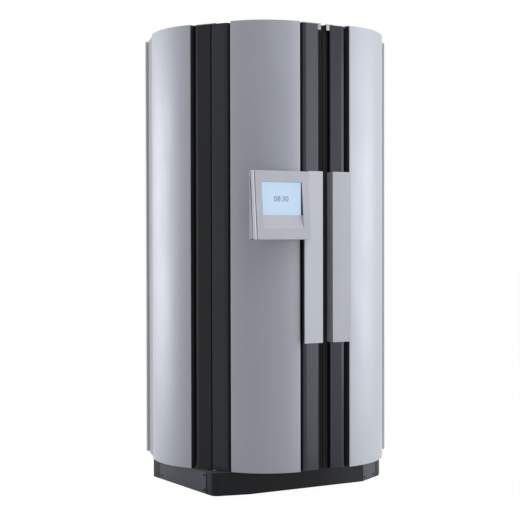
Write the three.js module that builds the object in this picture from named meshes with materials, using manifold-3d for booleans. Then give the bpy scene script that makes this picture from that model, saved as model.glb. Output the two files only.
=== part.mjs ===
// A walk-in tanning booth: seven curved lamp modules stand in a ring on a low plinth,
// and the two front modules are doors that swing out on pivot pins at their outer corners.
// Millimetres, +Z up. The origin is on the floor, on the axis of the ring, and the doors face -Y.
import * as THREE from "three";
import { mergeVertices } from "three/addons/utils/BufferGeometryUtils.js";
import Module from "manifold-3d";

const wasm = await Module();
wasm.setup();

// Clearances
const fitGap = 0.3;
const chamferGap = 0.5;
const sweepGap = 3;
const floorGap = 2;

// How the meshes are worked
const axes = 3;
const mergeDistance = 1e-4;
const cutOver = 1;

// The ring of modules
const doorAngle = 28;
const fixedModules = 5;
const moduleApothem = 575;

// Outer panels, bent from sheet
const panelChord = 314;
const panelSagitta = 36;
const panelSheet = 3;
const panelReturn = 29;
const panelArcSteps = 12;

// Stiles and corner posts, folded from sheet
const stileSheet = 2.5;
const stileRecess = 9;
const stileShoulder = 24;
const stileChamfer = 15;
const stileChamferSlope = 0.23;
const stileFlange = 6;
const stileWall = 36;
const meetingWall = 27;
const meetingRecessHalf = 31;
const hingeGap = 5;
const stileTopDrop = 4;

// Pivots of the doors
const pivotAlong = 12;
const pivotBehindFace = 9;
const pivotDiameter = 10;
const pivotClearance = 0.4;
const pivotReachInDoor = 20;
const pivotSides = 16;

// Door tie plates
const tieSheet = 3;
const tieInset = 2;

// Lamp modules, from the outside in
const reflectorDepth = 40;
const reflectorSheet = 2;
const reflectorMargin = 4;
const lampCount = 6;
const lampPitch = 54;
const lampDiameter = 38;
const lampLength = 1760;
const lampEndRoom = 140;
const lampSides = 12;
const lampBackGap = 8;
const holderHeight = 44;
const holderOverlap = 12;
const shieldDepth = 96;
const shieldThickness = 4;

// Plinth and floor
const plinthHeight = 108;
const plinthSheet = 3;
const plinthFrontY = -438;
const plinthFootX = -486;
const plinthFootY = -408;
const plinthFootRadius = 36;
const plinthFootEndX = -318;
const plinthFacetStartX = 290;
const plinthFacetEndX = 436;
const plinthFacetEndY = -356;
const plinthSideX = 460;
const plinthSideY = -330;
const plinthFlankX = 548;
const plinthFlankY = 149;
const plinthShoulderX = 330;
const plinthShoulderY = 465;
const plinthRearX = 150;
const plinthRearY = 545;
const roundSteps = 6;
const pivotEar = 14;
const coverThickness = 2.5;
const coverMargin = 4;
const sideCoverStart = 70;
const sideCoverEnd = 494;
const facetCoverStart = 6;
const facetCoverEnd = 130;
const matThickness = 6;
const matInset = 18;

// Roof and fan
const roofSheet = 3;
const roofDrop = 0.7;
const roofDoorGap = 8;
const roofPanelGap = 1;
const roofEarReach = 26;
const roofEarDepth = 30;
const fanDiameter = 280;
const fanTipGap = 6;
const fanShroudDepth = 64;
const fanShroudWall = 3;
const fanGrilleHeight = 4;
const fanGrilleRing = 5;
const fanGrilleRings = 2;
const fanSpokes = 6;
const fanBladeCount = 6;
const fanBladeThickness = 3;
const fanBladeHeight = 22;
const fanBladePitch = 35;
const fanHubDiameter = 84;
const fanMotorDiameter = 90;
const fanMotorHeight = 22;
const fanRotorGap = 3;
const roundSides = 32;

// Pulls on the meeting stiles
const pullStandOff = 33.6;
const pullThickness = 4.5;
const pullBottomZ = 694;
const pullHeight = 779;
const pullOuterX = 122;
const sealGap = 4;
const sealThickness = 8;
const sealSetBack = 20;

// Control display on the left door
const displayLeftX = -391;
const displayRightX = -103;
const displayHeight = 306;
const displayTopDrop = 3;
const displayStandOff = 2;
const displayJointDepth = 10;
const displayWedge = 29;
const displayWall = 2.5;
const screenWidth = 202.5;
const screenMargin = 49;
const screenHeight = 151;
const screenRise = 104.5;
const screenDepth = 3;
const screenThickness = 3;
const chinFootRise = 48;
const armMargin = 38;
const armEdge = 4;

// Catch at the top of the meeting stiles
const catchSheet = 3;
const catchLip = 25;
const catchLipWidth = 16;
const catchLipDepth = 2;
const catchOverhang = 20;

// Mains gland at the rear
const glandDiameter = 30;
const glandReach = 22;
const glandBore = 14;
const glandBoreDepth = 16;
const glandZ = 55;

// Places that follow from the sizes above
const fixedStep = (360 - 2 * doorAngle) / (fixedModules + 1);
const panelBottom = plinthHeight + floorGap;
const topZ = panelBottom + lampLength + 2 * lampEndRoom;
const stileTop = topZ - stileTopDrop;
const roofTop = topZ - roofDrop;
const roofUnder = roofTop - roofSheet;
const shieldFront = shieldDepth + shieldThickness;
const pullTopZ = pullBottomZ + pullHeight;
const displayTopZ = pullTopZ - displayTopDrop;
const displayBottomZ = displayTopZ - displayHeight;
const screenLeftX = displayLeftX + screenMargin;
const screenRightX = screenLeftX + screenWidth;
const screenBottomZ = displayBottomZ + screenRise;
const screenTopZ = screenBottomZ + screenHeight;
const chinFootZ = displayBottomZ + chinFootRise;

const radians = THREE.MathUtils.degToRad;
const modules = [
  { name: "door_left", angle: -doorAngle, door: -1 },
  { name: "door_right", angle: doorAngle, door: 1 },
  { name: "side_left", angle: -doorAngle - fixedStep },
  { name: "side_right", angle: doorAngle + fixedStep },
  { name: "rear_left", angle: -doorAngle - 2 * fixedStep },
  { name: "rear_right", angle: doorAngle + 2 * fixedStep },
  { name: "rear", angle: 180 },
];

// Colours and finishes
const finish = (color, roughness, metalness) =>
  new THREE.MeshStandardMaterial({ color, roughness, metalness });
const silver = finish(0x9aa0a8, 0.45, 0.35);
const charcoal = finish(0x33353a, 0.55, 0.2);
const black = finish(0x1c1d20, 0.7, 0);
const lightGrey = finish(0xb8bcc3, 0.4, 0.2);
const mirrorSheet = finish(0xd4d7da, 0.15, 0.9);
const lampGlass = finish(0xf2f4f7, 0.3, 0);
const clearSheet = finish(0xdfe8ee, 0.08, 0);
const steel = finish(0xb4b6b8, 0.3, 0.8);
const screenBlue = finish(0xc8dcf0, 0.15, 0);

// Turns a closed geometry into a solid that can be joined and cut.
function solid(geometry) {
  const bare = geometry.index ? geometry.toNonIndexed() : geometry.clone();
  bare.deleteAttribute("normal");
  bare.deleteAttribute("uv");
  const merged = mergeVertices(bare, mergeDistance);
  const mesh = new wasm.Mesh({
    numProp: axes,
    vertProperties: new Float32Array(merged.attributes.position.array),
    triVerts: new Uint32Array(merged.index.array),
  });
  return new wasm.Manifold(mesh);
}

// Turns a solid back into a geometry.
function geometryOf(made) {
  const mesh = made.getMesh();
  const geometry = new THREE.BufferGeometry();
  geometry.setAttribute("position", new THREE.BufferAttribute(mesh.vertProperties, axes));
  geometry.setIndex(new THREE.BufferAttribute(mesh.triVerts, 1));
  geometry.computeVertexNormals();
  return geometry;
}

const join = (...geometries) => geometryOf(geometries.map(solid).reduce((all, one) => all.add(one)));
const cut = (geometry, ...tools) =>
  geometryOf(tools.reduce((left, tool) => left.subtract(solid(tool)), solid(geometry)));

// Stands a plan outline up between two heights. Holes are round: [x, y, diameter, sides].
function upright(outline, fromZ, toZ, holes = []) {
  const shape = new THREE.Shape(outline.map(([x, y]) => new THREE.Vector2(x, y)));
  for (const [x, y, diameter, sides] of holes) {
    const ring = Array.from({ length: sides }, (_, i) => {
      const turn = (2 * Math.PI * i) / sides;
      return new THREE.Vector2(x + (diameter / 2) * Math.cos(turn), y + (diameter / 2) * Math.sin(turn));
    });
    shape.holes.push(new THREE.Path(ring));
  }
  const geometry = new THREE.ExtrudeGeometry(shape, { depth: toZ - fromZ, bevelEnabled: false });
  return geometry.translate(0, 0, fromZ);
}

// Runs a side-view outline of [y, z] points from one X to another.
function sideways(outline, fromX, toX) {
  const shape = new THREE.Shape(outline.map(([y, z]) => new THREE.Vector2(y, z)));
  const geometry = new THREE.ExtrudeGeometry(shape, { depth: toX - fromX, bevelEnabled: false });
  geometry.rotateX(Math.PI / 2);
  geometry.rotateZ(Math.PI / 2);
  return geometry.translate(fromX, 0, 0);
}

function block(fromX, toX, fromY, toY, fromZ, toZ) {
  const geometry = new THREE.BoxGeometry(toX - fromX, toY - fromY, toZ - fromZ);
  return geometry.translate((fromX + toX) / 2, (fromY + toY) / 2, (fromZ + toZ) / 2);
}

function rod(x, y, diameter, fromZ, toZ, sides) {
  const geometry = new THREE.CylinderGeometry(diameter / 2, diameter / 2, toZ - fromZ, sides);
  geometry.rotateX(Math.PI / 2);
  return geometry.translate(x, y, (fromZ + toZ) / 2);
}

function ring(innerRadius, outerRadius, fromZ, toZ) {
  const profile = [
    [innerRadius, fromZ],
    [outerRadius, fromZ],
    [outerRadius, toZ],
    [innerRadius, toZ],
    [innerRadius, fromZ],
  ];
  const geometry = new THREE.LatheGeometry(
    profile.map(([r, z]) => new THREE.Vector2(r, z)),
    roundSides,
  );
  return geometry.rotateX(Math.PI / 2);
}

// The line moved to its right-hand side by a thickness, with mitred corners.
function beside(line, thickness) {
  const normals = line.slice(1).map(([x, y], i) => {
    const [fromX, fromY] = line[i];
    const length = Math.hypot(x - fromX, y - fromY);
    return [(y - fromY) / length, (fromX - x) / length];
  });
  return line.map(([x, y], i) => {
    const [ax, ay] = normals[Math.max(i - 1, 0)];
    const [bx, by] = normals[Math.min(i, normals.length - 1)];
    const mitre = thickness / (1 + ax * bx + ay * by);
    return [x + (ax + bx) * mitre, y + (ay + by) * mitre];
  });
}

const folded = (line, thickness) => [...line, ...beside(line, thickness).reverse()];
const mirrored = (points) => points.map(([x, y]) => [-x, y]);

// A corner between two modules. Along it, "along" runs from the middle towards a module, and
// "out" runs outwards from the line between the two panel edges.
function corner(halfAngle) {
  const sine = Math.sin(radians(halfAngle));
  const cosine = Math.cos(radians(halfAngle));
  const half = moduleApothem * sine - (panelChord / 2) * cosine;
  const line = moduleApothem * cosine + (panelChord / 2) * sine;
  const tipAlong = half - panelReturn * sine;
  const tipOut = -panelReturn * cosine - chamferGap;
  const faceEnd = tipAlong - stileShoulder;
  const kneeAlong = faceEnd + stileChamfer;
  const kneeOut = -stileRecess - stileChamfer * stileChamferSlope;
  const sideSlope = (kneeOut - tipOut) / (tipAlong - kneeAlong);
  const sideEnd = tipAlong + panelSheet * cosine;
  const sideOut = tipOut - sideSlope * (sideEnd - tipAlong);
  const place = (along, out) => [along, -(line + out)];
  const inModule = (along, out) => {
    const reach = line + out;
    return [reach * sine - along * cosine, -(reach * cosine + along * sine)];
  };
  return { line, faceEnd, kneeAlong, kneeOut, sideEnd, sideOut, place, inModule };
}

const fixedCorner = corner(fixedStep / 2);
const frontCorner = corner(doorAngle);

// The folds of a stile from its open edge, over its face, chamfer and side, to the flange behind the panel.
function stileFolds(at, from, wall) {
  return [
    [from, -stileRecess - wall],
    [from, -stileRecess],
    [at.faceEnd, -stileRecess],
    [at.kneeAlong, at.kneeOut],
    [at.sideEnd, at.sideOut],
    [at.sideEnd, at.sideOut - stileFlange],
  ];
}

const placed = (points, place) => points.map(([along, out]) => place(along, out));

// Outline of a curved panel from edge to edge, as a line along its outer skin.
function panelSkin() {
  const half = panelChord / 2;
  const radius = (half * half + panelSagitta * panelSagitta) / (2 * panelSagitta);
  const centreOut = panelSagitta - radius;
  const reach = Math.atan2(half, -centreOut);
  return Array.from({ length: panelArcSteps + 1 }, (_, i) => {
    const turn = reach * ((2 * i) / panelArcSteps - 1);
    return [radius * Math.sin(turn), -(moduleApothem + centreOut + radius * Math.cos(turn))];
  });
}

function panel() {
  const half = panelChord / 2;
  const returnY = panelReturn - moduleApothem;
  const skin = [[-half, returnY], ...panelSkin(), [half, returnY]];
  return join(
    upright(folded(skin, -panelSheet), panelBottom, topZ),
    upright(skin, panelBottom, panelBottom + panelSheet),
    upright(skin, topZ - panelSheet, topZ),
  );
}

// Half of a module's width at a depth behind its chord, kept clear of the next module.
function moduleHalf(depth) {
  const halfAngle = radians(fixedStep / 2);
  return (moduleApothem - depth) * Math.tan(halfAngle) - sweepGap / Math.cos(halfAngle);
}

// Doors carry their module between tie plates, and fixed modules stand between floor and roof.
const moduleFloor = (door) => (door ? panelBottom + tieInset + tieSheet : plinthHeight) + fitGap;
const moduleRoof = (door) => (door ? stileTop - tieInset - tieSheet : roofUnder) - fitGap;

function reflector(door) {
  const frontHalf = moduleHalf(shieldDepth);
  const frontY = shieldDepth - reflectorSheet - fitGap - moduleApothem;
  const backY = reflectorDepth - moduleApothem;
  const backHalf = (lampCount * lampPitch) / 2 + reflectorMargin;
  const line = [
    [-frontHalf, frontY],
    [-backHalf, backY],
    [backHalf, backY],
    [frontHalf, frontY],
  ];
  return upright(folded(line, -reflectorSheet), moduleFloor(door), moduleRoof(door));
}

function lampBank() {
  const middle = (panelBottom + topZ) / 2;
  const backY = reflectorDepth + reflectorSheet + fitGap - moduleApothem;
  const lampY = backY + lampBackGap + lampDiameter / 2;
  const frontY = lampY + lampDiameter / 2;
  const low = middle - lampLength / 2;
  const high = middle + lampLength / 2;
  const holderHalf = (lampCount * lampPitch) / 2;
  const holder = (fromZ) => block(-holderHalf, holderHalf, backY, frontY, fromZ, fromZ + holderHeight);
  const tubes = Array.from({ length: lampCount }, (_, i) => {
    const x = (i - (lampCount - 1) / 2) * lampPitch;
    return rod(x, lampY, lampDiameter, low, high, lampSides);
  });
  return join(holder(low + holderOverlap - holderHeight), holder(high - holderOverlap), ...tubes);
}

function shield(door) {
  const half = moduleHalf(shieldFront);
  const outerY = shieldDepth - moduleApothem;
  return block(-half, half, outerY, outerY + shieldThickness, moduleFloor(door), moduleRoof(door));
}

// A door's welded frame, drawn for the left door: its hinge stile, meeting stile and two tie plates.
function doorFrame(side) {
  const atHinge = (points) => mirrored(placed(points, fixedCorner.inModule));
  const atFront = (points) => placed(points, frontCorner.inModule);
  const sheetMiddle = stileSheet / 2;
  const faceMiddle = -stileRecess - sheetMiddle;
  const hingeFrom = hingeGap / 2;
  const tie = [
    ...atHinge([
      [hingeFrom + sheetMiddle, -stileRecess - stileWall],
      [hingeFrom + sheetMiddle, faceMiddle],
      [fixedCorner.faceEnd, faceMiddle],
      [fixedCorner.kneeAlong, fixedCorner.kneeOut - sheetMiddle],
      [fixedCorner.sideEnd - sheetMiddle, fixedCorner.sideOut - sheetMiddle],
    ]),
    ...atFront([
      [frontCorner.sideEnd - sheetMiddle, frontCorner.sideOut - sheetMiddle],
      [frontCorner.kneeAlong, frontCorner.kneeOut - sheetMiddle],
      [frontCorner.faceEnd, faceMiddle],
      [meetingRecessHalf + sheetMiddle, faceMiddle],
      [meetingRecessHalf + sheetMiddle, -stileRecess - meetingWall],
    ]),
    [moduleHalf(shieldFront), shieldFront - moduleApothem],
    [-moduleHalf(shieldFront), shieldFront - moduleApothem],
  ];
  const [pivot] = atHinge([[pivotAlong, -stileRecess - pivotBehindFace]]);
  const hand = (points) => (side < 0 ? points : mirrored(points));
  const [[pivotX, pivotY]] = hand([pivot]);
  const bore = [pivotX, pivotY, pivotDiameter + 2 * pivotClearance, pivotSides];
  const hingeFolds = folded(stileFolds(fixedCorner, hingeFrom, stileWall), stileSheet);
  const meetingFolds = folded(stileFolds(frontCorner, meetingRecessHalf, meetingWall), stileSheet);
  const bottom = panelBottom + tieInset;
  const top = stileTop - tieInset;
  return join(
    upright(hand(atHinge(hingeFolds)), panelBottom, stileTop),
    upright(hand(atFront(meetingFolds)), panelBottom, stileTop),
    upright(hand(tie), bottom, bottom + tieSheet, [bore]),
    upright(hand(tie), top - tieSheet, top, [bore]),
  );
}

// A fixed post beside a door, drawn for the left corner, where the fixed module is on the -X side.
function hingePost(side) {
  const line = placed(stileFolds(fixedCorner, hingeGap / 2, stileWall), fixedCorner.place);
  const outline = folded(line, -stileSheet);
  return upright(side < 0 ? mirrored(outline) : outline, plinthHeight + fitGap, roofUnder - fitGap);
}

// A fixed post between two fixed modules.
function cornerPost() {
  const half = stileFolds(fixedCorner, 0, 0).slice(2);
  const line = placed([...half.map(([along, out]) => [-along, out]).reverse(), ...half], fixedCorner.place);
  return upright(folded(line, -stileSheet), plinthHeight + fitGap, roofUnder - fitGap);
}

// A point given in a turned frame, in the booth's frame.
function turned([x, y], angle) {
  const sine = Math.sin(radians(angle));
  const cosine = Math.cos(radians(angle));
  return [x * cosine - y * sine, x * sine + y * cosine];
}

const hingeAngle = doorAngle + fixedStep / 2;

// The pivot of the door on one side: -1 is left, 1 is right.
function pivotPoint(side) {
  const [along, y] = fixedCorner.place(pivotAlong, -stileRecess - pivotBehindFace);
  return turned([-side * along, y], side * hingeAngle);
}

// The plinth's outline, anticlockwise from the left flank, with a foot at the left hinge
// and a facet at the right.
function plinthOutline() {
  const start = Math.atan2(plinthFootY - plinthFlankY, plinthFootX + plinthFlankX) - Math.PI / 2;
  const end = Math.atan2(plinthFrontY - plinthFootY, plinthFootEndX - plinthFootX) - Math.PI / 2;
  const foot = Array.from({ length: roundSteps + 1 }, (_, i) => {
    const turn = start + ((end - start) * i) / roundSteps;
    const centreX = plinthFootX + plinthFootRadius;
    const centreY = plinthFootY + plinthFootRadius;
    return [centreX + plinthFootRadius * Math.cos(turn), centreY + plinthFootRadius * Math.sin(turn)];
  });
  return [
    [-plinthFlankX, plinthFlankY],
    ...foot,
    [plinthFootEndX, plinthFrontY],
    [plinthFacetStartX, plinthFrontY],
    [plinthFacetEndX, plinthFacetEndY],
    [plinthSideX, plinthSideY],
    [plinthFlankX, plinthFlankY],
    [plinthShoulderX, plinthShoulderY],
    [plinthRearX, plinthRearY],
    [-plinthRearX, plinthRearY],
    [-plinthShoulderX, plinthShoulderY],
  ];
}

// A closed outline drawn in all round; the outline runs anticlockwise.
function inset(outline, distance) {
  const looped = [outline.at(-1), ...outline, outline[0]];
  return beside(looped, -distance).slice(1, -1);
}

function plinthTray() {
  const outline = plinthOutline();
  const top = plinthHeight - plinthSheet - fitGap;
  return cut(upright(outline, 0, top), upright(inset(outline, plinthSheet), plinthSheet, plinthHeight));
}

function floorDeck() {
  const from = plinthHeight - plinthSheet;
  const ears = [-1, 1].map((side) => rod(...pivotPoint(side), 2 * pivotEar, from, plinthHeight, roundSides));
  const boreDiameter = pivotDiameter + 2 * pivotClearance;
  const bores = [-1, 1].map((side) =>
    rod(...pivotPoint(side), boreDiameter, from - cutOver, plinthHeight + cutOver, pivotSides),
  );
  return cut(join(upright(plinthOutline(), from, plinthHeight), ...ears), ...bores);
}

// A flat cover over a stretch of one side of the plinth, measured from that side's first point.
function plinthCover([fromX, fromY], [toX, toY], start, end) {
  const length = Math.hypot(toX - fromX, toY - fromY);
  const [alongX, alongY] = [(toX - fromX) / length, (toY - fromY) / length];
  const at = (along, out) => [fromX + alongX * along + alongY * out, fromY + alongY * along - alongX * out];
  const face = fitGap + coverThickness;
  const outline = [at(start, fitGap), at(start, face), at(end, face), at(end, fitGap)];
  return upright(outline, coverMargin, plinthHeight - plinthSheet - coverMargin);
}

// The outline at a distance inside every module's chord, as the ring of its corners.
function innerOutline(apothem) {
  const fixedReach = apothem / Math.cos(radians(fixedStep / 2));
  const frontReach = apothem / Math.cos(radians(doorAngle));
  const bends = Array.from({ length: fixedModules + 1 }, (_, i) =>
    turned([0, -fixedReach], hingeAngle + i * fixedStep),
  );
  return [turned([0, -frontReach], 0), ...bends];
}

function floorMat() {
  const outline = innerOutline(moduleApothem - shieldFront - matInset);
  const from = plinthHeight + fitGap;
  const overhang = block(-moduleApothem, moduleApothem, -moduleApothem, plinthFrontY + matInset, 0, topZ);
  return cut(upright(outline, from, from + matThickness), overhang);
}

// The roof covers the fixed modules and the standing space, with an ear over each door pivot.
function roofDeck() {
  const postEdge = [
    [fixedCorner.faceEnd, -stileRecess],
    [fixedCorner.kneeAlong, fixedCorner.kneeOut],
    [fixedCorner.sideEnd, fixedCorner.sideOut],
  ];
  const edge = placed(postEdge, fixedCorner.inModule);
  const backX = edge.at(-1)[0];
  const backY = panelReturn + roofPanelGap - moduleApothem;
  const leftHalf = [...mirrored(edge), [-backX, backY]];
  const overModule = [...leftHalf, ...mirrored(leftHalf).reverse()];
  const ear = placed(
    [
      [-roofEarReach, -stileRecess - stileSheet - roofEarDepth],
      [-roofEarReach, -stileRecess],
    ],
    fixedCorner.place,
  );
  const inner = innerOutline(moduleApothem - shieldFront - roofDoorGap);
  const outline = [inner[0], inner[1], ...ear.map((point) => turned(point, hingeAngle))];
  for (let i = 1; i <= fixedModules; i += 1) {
    outline.push(...overModule.map((point) => turned(point, doorAngle + i * fixedStep)));
  }
  outline.push(...mirrored(ear).reverse().map((point) => turned(point, -hingeAngle)), inner.at(-1));
  const bores = [-1, 1].map((side) => [...pivotPoint(side), pivotDiameter + 2 * fitGap, pivotSides]);
  return upright(outline, roofUnder, roofTop, [[0, 0, fanDiameter, roundSides], ...bores]);
}

const fanTop = roofUnder - fitGap;
const fanFloor = fanTop - fanShroudDepth;
const motorFloor = fanFloor + fanGrilleHeight + fitGap;
const rotorFloor = motorFloor + fanMotorHeight + fanRotorGap;

function fanGuard() {
  const outer = fanDiameter / 2;
  const hub = fanMotorDiameter / 2;
  const spacing = (outer - hub) / (fanGrilleRings + 1);
  const grilleTop = fanFloor + fanGrilleHeight;
  const rings = Array.from({ length: fanGrilleRings }, (_, i) => {
    const middle = hub + (i + 1) * spacing;
    return ring(middle - fanGrilleRing / 2, middle + fanGrilleRing / 2, fanFloor, grilleTop);
  });
  const spokeReach = outer + fanShroudWall / 2;
  const spokeHalf = fanGrilleRing / 2;
  const spokes = Array.from({ length: fanSpokes / 2 }, (_, i) => {
    const spoke = block(-spokeReach, spokeReach, -spokeHalf, spokeHalf, fanFloor, grilleTop);
    return spoke.rotateZ((2 * Math.PI * i) / fanSpokes);
  });
  const centre = rod(0, 0, fanMotorDiameter, fanFloor, grilleTop, roundSides);
  return join(ring(outer, outer + fanShroudWall, fanFloor, fanTop), centre, ...rings, ...spokes);
}

const fanMotor = () => rod(0, 0, fanMotorDiameter, motorFloor, motorFloor + fanMotorHeight, roundSides);

function fanImpeller() {
  const hubRadius = fanHubDiameter / 2;
  const tip = fanDiameter / 2 - fanTipGap;
  const halfThickness = fanBladeThickness / 2;
  const halfHeight = fanBladeHeight / 2;
  const blades = Array.from({ length: fanBladeCount }, (_, i) => {
    const blade = block(hubRadius / 2, tip, -halfThickness, halfThickness, -halfHeight, halfHeight);
    blade.rotateX(radians(fanBladePitch));
    blade.rotateZ((2 * Math.PI * i) / fanBladeCount);
    return blade.translate(0, 0, rotorFloor + halfHeight);
  });
  return join(rod(0, 0, fanHubDiameter, rotorFloor, rotorFloor + fanBladeHeight, roundSides), ...blades);
}

// The pins: the lower one stands in the floor deck, the upper one hangs in the roof's ear.
function pivotPin(side, upper) {
  const lowFrom = plinthHeight - plinthSheet + fitGap;
  const [from, to] = upper
    ? [stileTop - pivotReachInDoor, roofTop]
    : [lowFrom, panelBottom + pivotReachInDoor];
  return rod(...pivotPoint(side), pivotDiameter, from, to, pivotSides);
}

const meetingFaceY = stileRecess - frontCorner.line;
const displayBackY = -frontCorner.line - displayStandOff;
const sealFrontY = meetingFaceY + sealSetBack;
const pullFrontY = meetingFaceY - pullStandOff;
const displayJointY = pullFrontY + displayJointDepth;
const screenY = pullFrontY + screenDepth;

// A piece drawn for the right side, or its mirror image for the left.
function handed(geometry, side) {
  if (side > 0) return geometry;
  const flat = geometry.index ? geometry.toNonIndexed() : geometry.clone();
  const position = flat.attributes.position;
  const flipped = new Float32Array(position.array.length);
  for (let i = 0; i < position.count; i += 3) {
    [i + 2, i + 1, i].forEach((from, k) => {
      flipped.set([-position.getX(from), position.getY(from), position.getZ(from)], axes * (i + k));
    });
  }
  return new THREE.BufferGeometry().setAttribute("position", new THREE.BufferAttribute(flipped, axes));
}

function meetingSeal(side) {
  const backY = sealFrontY + sealThickness;
  const strip = block(sealGap / 2, meetingRecessHalf - fitGap, sealFrontY, backY, panelBottom, stileTop);
  return handed(strip, side);
}

// A pull is a plate that stands in front of the stile on a web set into the recess.
function pull(side) {
  const innerX = meetingRecessHalf - fitGap - pullThickness;
  const section = [
    [innerX, pullFrontY],
    [pullOuterX, pullFrontY],
    [pullOuterX, pullFrontY + pullThickness],
    [innerX + pullThickness, pullFrontY + pullThickness],
    [innerX + pullThickness, sealFrontY - fitGap],
    [innerX, sealFrontY - fitGap],
  ];
  const made = handed(upright(section, pullBottomZ, pullTopZ), side);
  if (side > 0) return made;
  const besideDisplay = displayRightX + 2 * fitGap;
  const behindPlate = pullFrontY + pullThickness + fitGap;
  const notch = block(-pullOuterX - fitGap, besideDisplay, pullFrontY - fitGap, behindPlate,
    displayBottomZ - fitGap, pullTopZ + fitGap);
  return cut(made, notch);
}

function displayHousing() {
  const outer = block(displayLeftX, displayRightX, displayJointY, displayBackY, displayBottomZ, displayTopZ);
  const hollow = block(displayLeftX + displayWall, displayRightX - displayWall, displayJointY - displayWall,
    displayBackY - displayWall, displayBottomZ + displayWall, displayTopZ - displayWall);
  return cut(outer, hollow);
}

// The front of the display leans back: its foot stands proud of the pull's face by the wedge.
function displayBezel() {
  const backY = displayJointY - fitGap;
  const wedge = [
    [backY, displayBottomZ],
    [pullFrontY - displayWedge, displayBottomZ],
    [pullFrontY, displayTopZ],
    [backY, displayTopZ],
  ];
  const seatY = screenY + screenThickness + fitGap;
  const clearY = pullFrontY - 2 * displayWedge;
  const chinSlope = (screenBottomZ - chinFootZ) / displayWedge;
  const well = [
    [seatY, screenBottomZ - fitGap],
    [seatY, screenTopZ + fitGap],
    [clearY, screenTopZ + fitGap],
    [clearY, screenBottomZ - fitGap + chinSlope * (clearY - screenY)],
    [screenY, screenBottomZ - fitGap],
  ];
  const opening = sideways(well, screenLeftX - fitGap, screenRightX + fitGap);
  return cut(sideways(wedge, displayLeftX, displayRightX), opening);
}

const displayScreen = () =>
  block(screenLeftX, screenRightX, screenY, screenY + screenThickness, screenBottomZ, screenTopZ);

// The arm is bolted to the stile's face behind the pull and carries the display by its side.
const displayArm = () =>
  block(displayRightX + fitGap, -meetingRecessHalf - armEdge, displayJointY, meetingFaceY - fitGap,
    displayBottomZ + armMargin, displayTopZ - armMargin);

// The left catch caps its stile and hangs a lip at the recess's edge; the right one is the lip's keeper.
function catchPlate(side) {
  const lipTo = meetingRecessHalf - fitGap;
  const lipFrom = lipTo - catchLipWidth;
  const lipY = meetingFaceY + catchLipDepth;
  const capEnd = side < 0 ? frontCorner.faceEnd + catchOverhang : meetingRecessHalf + catchOverhang;
  const backY = sealFrontY + sealThickness;
  const capFoot = stileTop + fitGap;
  const cap = block(lipFrom, capEnd, meetingFaceY, backY, capFoot, capFoot + catchSheet);
  const lip = block(lipFrom, lipTo, lipY, lipY + catchSheet, stileTop - catchLip, capFoot + catchSheet);
  return handed(join(cap, lip), side);
}

function mainsGland() {
  const barrel = rod(0, 0, glandDiameter, 0, glandReach, roundSides);
  const bore = rod(0, 0, glandBore, glandReach - glandBoreDepth, glandReach + cutOver, roundSides);
  const gland = cut(barrel, bore);
  gland.rotateX(-Math.PI / 2);
  return gland.translate(0, plinthRearY + fitGap, glandZ);
}

// Assembly
const booth = new THREE.Group();

function add(name, geometry, material, parent = booth) {
  const mesh = new THREE.Mesh(geometry, material.clone());
  mesh.name = name;
  parent.add(mesh);
}

function turnedGroup(angle) {
  const group = new THREE.Group();
  group.rotation.z = radians(angle);
  booth.add(group);
  return group;
}

for (const { name, angle, door } of modules) {
  const group = turnedGroup(angle);
  add(`panel_${name}`, panel(), silver, group);
  add(`reflector_${name}`, reflector(door), mirrorSheet, group);
  add(`lamp_bank_${name}`, lampBank(), lampGlass, group);
  add(`shield_${name}`, shield(door), clearSheet, group);
  if (door) add(`frame_${name}`, doorFrame(door), charcoal, group);
}

for (const [name, side] of [["left", -1], ["right", 1]]) {
  add(`hinge_post_${name}`, hingePost(side), charcoal, turnedGroup(side * hingeAngle));
  add(`corner_post_side_${name}`, cornerPost(), charcoal, turnedGroup(side * (hingeAngle + fixedStep)));
  add(`corner_post_rear_${name}`, cornerPost(), charcoal, turnedGroup(side * (hingeAngle + 2 * fixedStep)));
  add(`pivot_lower_${name}`, pivotPin(side, false), steel);
  add(`pivot_upper_${name}`, pivotPin(side, true), steel);
  add(`meeting_seal_${name}`, meetingSeal(side), black);
  add(`pull_${name}`, pull(side), lightGrey);
  add(`catch_${name}`, catchPlate(side), steel);
}

const outline = plinthOutline();
const facetStart = outline.findIndex(([x]) => x === plinthFacetStartX);
add("plinth_tray", plinthTray(), black);
const [flank, footStart] = outline;
const [facetFrom, facetTo] = outline.slice(facetStart);
add("plinth_cover_left", plinthCover(flank, footStart, sideCoverStart, sideCoverEnd), charcoal);
add("plinth_cover_right", plinthCover(facetFrom, facetTo, facetCoverStart, facetCoverEnd), charcoal);
add("floor_deck", floorDeck(), charcoal);
add("floor_mat", floorMat(), black);
add("roof_deck", roofDeck(), silver);
add("fan_guard", fanGuard(), black);
add("fan_motor", fanMotor(), steel);
add("fan_impeller", fanImpeller(), black);
add("display_housing", displayHousing(), lightGrey);
add("display_bezel", displayBezel(), lightGrey);
add("display_screen", displayScreen(), screenBlue);
add("display_arm", displayArm(), charcoal);
add("mains_gland", mainsGland(), black);

export default booth;
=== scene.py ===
# %% [markdown]
# # A walk-in tanning booth
# The booth is a ring of seven curved lamp modules on a low plinth. Two of them are doors.
# Its engineering model is loaded first and stays fixed: every finer piece made here sits on it and rides on
# one of its bodies, so that the doors still open and the fan still turns.

# %% Load the engineering model
import math

import bmesh
import bpy
from mathutils import Matrix, Vector


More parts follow.
